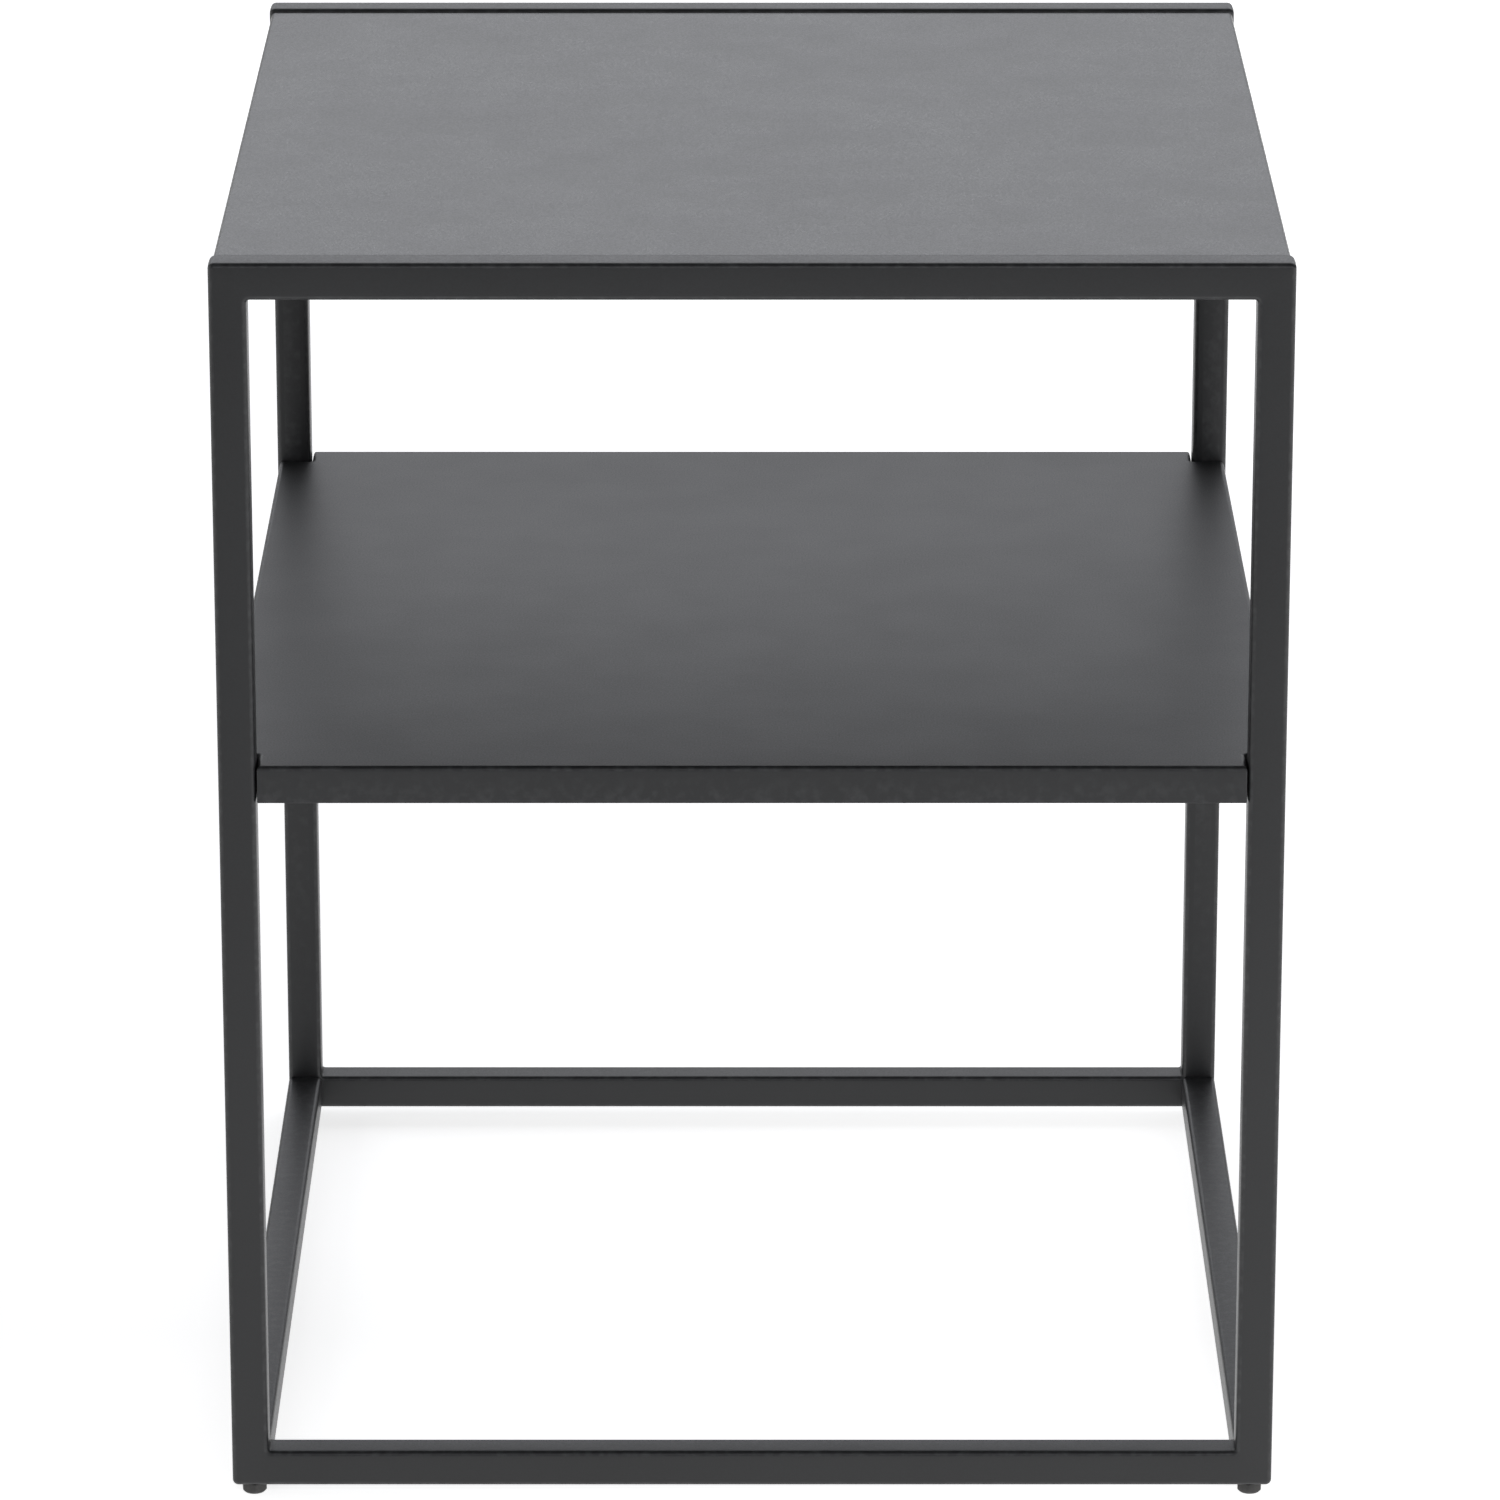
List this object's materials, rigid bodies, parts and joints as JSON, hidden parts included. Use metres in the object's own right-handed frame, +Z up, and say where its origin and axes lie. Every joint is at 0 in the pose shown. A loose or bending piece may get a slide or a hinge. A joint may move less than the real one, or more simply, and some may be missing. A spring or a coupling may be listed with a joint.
{
  "type": "side table",
  "caption": "Rigid square-tube metal side table with a folded sheet top, a notched folded shelf, an open base ring and hexagonal screw-in levelling feet.",
  "frame": {"origin": "floor level under the middle of the table, with the four feet screwed fully in", "axes": "+Z up, -Y towards the front of the table, +X to the right seen from the front"},
  "size_m": [0.42, 0.45, 0.5148],
  "materials": {
    "powder_coat": "satin charcoal powder coat with a fine texture",
    "black_zinc": "black zinc-plated screw steel",
    "zinc_plate": "bright zinc plate",
    "plain_steel": "plain machined steel",
    "black_nylon": "moulded black nylon"
  },
  "bodies": {
    "table_frame": {"front_left_leg": "powder_coat", "front_right_leg": "powder_coat", "front_top_rail": "powder_coat", "front_bottom_rail": "powder_coat", "back_left_leg": "powder_coat", "back_right_leg": "powder_coat", "back_top_rail": "powder_coat", "back_bottom_rail": "powder_coat", "left_side_rail": "powder_coat", "right_side_rail": "powder_coat", "top_panel": "powder_coat", "shelf_panel": "powder_coat", "front_left_spigot": "powder_coat", "front_right_spigot": "powder_coat", "back_left_spigot": "powder_coat", "back_right_spigot": "powder_coat", "front_left_rail_screw": "black_zinc", "front_right_rail_screw": "black_zinc", "back_left_rail_screw": "black_zinc", "back_right_rail_screw": "black_zinc", "top_front_left_rivet_nut": "zinc_plate", "top_front_left_screw": "black_zinc", "top_front_right_rivet_nut": "zinc_plate", "top_front_right_screw": "black_zinc", "top_back_left_rivet_nut": "zinc_plate", "top_back_left_screw": "black_zinc", "top_back_right_rivet_nut": "zinc_plate", "top_back_right_screw": "black_zinc", "shelf_front_left_rivet_nut": "zinc_plate", "shelf_front_left_screw": "black_zinc", "shelf_front_right_rivet_nut": "zinc_plate", "shelf_front_right_screw": "black_zinc", "shelf_back_left_rivet_nut": "zinc_plate", "shelf_back_left_screw": "black_zinc", "shelf_back_right_rivet_nut": "zinc_plate", "shelf_back_right_screw": "black_zinc", "front_left_foot_block": "plain_steel", "front_right_foot_block": "plain_steel", "back_left_foot_block": "plain_steel", "back_right_foot_block": "plain_steel"},
    "front_left_foot": {"front_left_foot_glide": "black_nylon", "front_left_foot_stud": "zinc_plate"},
    "front_right_foot": {"front_right_foot_glide": "black_nylon", "front_right_foot_stud": "zinc_plate"},
    "back_left_foot": {"back_left_foot_glide": "black_nylon", "back_left_foot_stud": "zinc_plate"},
    "back_right_foot": {"back_right_foot_glide": "black_nylon", "back_right_foot_stud": "zinc_plate"}
  },
  "joints": [
    {"name": "front_left_foot_height", "type": "slide", "parent": "table_frame", "child": "front_left_foot", "axis": [0, 0, -1], "range_m": [0, 0.008]},
    {"name": "front_right_foot_height", "type": "slide", "parent": "table_frame", "child": "front_right_foot", "axis": [0, 0, -1], "range_m": [0, 0.008]},
    {"name": "back_left_foot_height", "type": "slide", "parent": "table_frame", "child": "back_left_foot", "axis": [0, 0, -1], "range_m": [0, 0.008]},
    {"name": "back_right_foot_height", "type": "slide", "parent": "table_frame", "child": "back_right_foot", "axis": [0, 0, -1], "range_m": [0, 0.008]}
  ]
}
